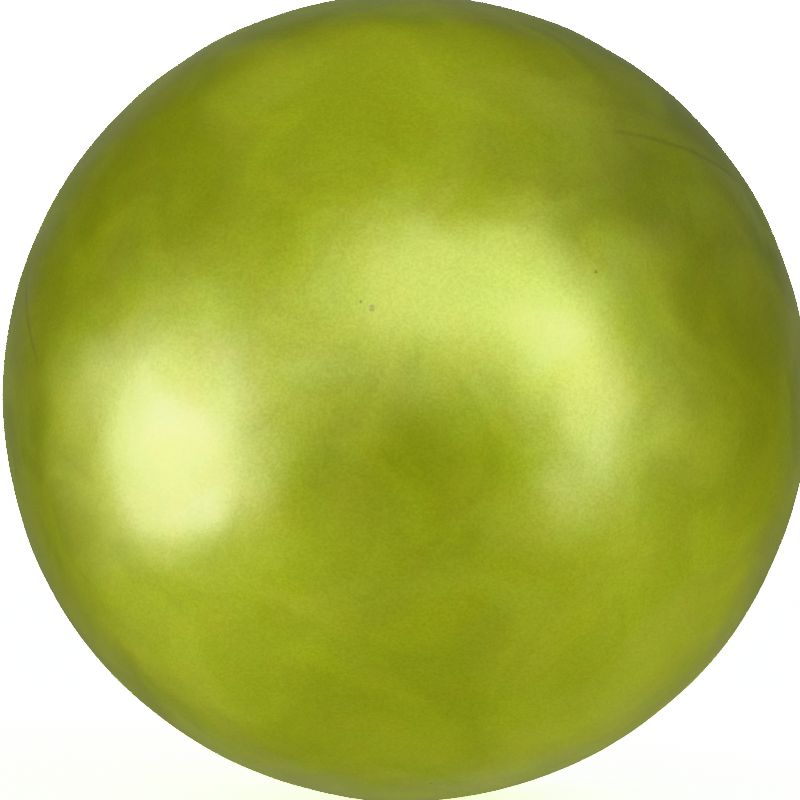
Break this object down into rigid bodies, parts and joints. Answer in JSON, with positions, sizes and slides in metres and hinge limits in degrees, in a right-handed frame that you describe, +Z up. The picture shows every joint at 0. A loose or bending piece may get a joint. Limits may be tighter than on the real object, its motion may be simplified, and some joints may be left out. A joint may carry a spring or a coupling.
{
  "type": "juggling ball",
  "caption": "Smooth seamless hollow juggling ball in metallic lime, part-filled with loose grain through a plugged port.",
  "frame": {"origin": "centre of the ball", "axes": "+Y out through the middle of the filling port and its plug, +Z up with the filling at rest in the lower half, -Y is the plain face that is seen from the front"},
  "size_m": [0.07, 0.0697, 0.07],
  "materials": {
    "shell_lacquer": "soft vinyl with a glossy metallic pearl lime lacquer",
    "seat_plastic": "firm vinyl ring, lacquered with the shell",
    "plug_rubber": "satin moulded lime rubber",
    "filling_grain": "loose fine white salt-like grain"
  },
  "bodies": {
    "ball": {"shell": "shell_lacquer", "plug_seat": "seat_plastic"},
    "stopper": {"plug": "plug_rubber"},
    "grain": {"filling": "filling_grain"}
  },
  "joints": [
    {"name": "plug_pull", "type": "slide", "parent": "ball", "child": "stopper", "axis": [0, 1, 0], "range_m": [0, 0.015]},
    {"name": "grain_roll", "type": "hinge", "parent": "ball", "child": "grain", "pos_m": [0, 0, 0], "axis": [0, 1, 0], "continuous": true}
  ]
}
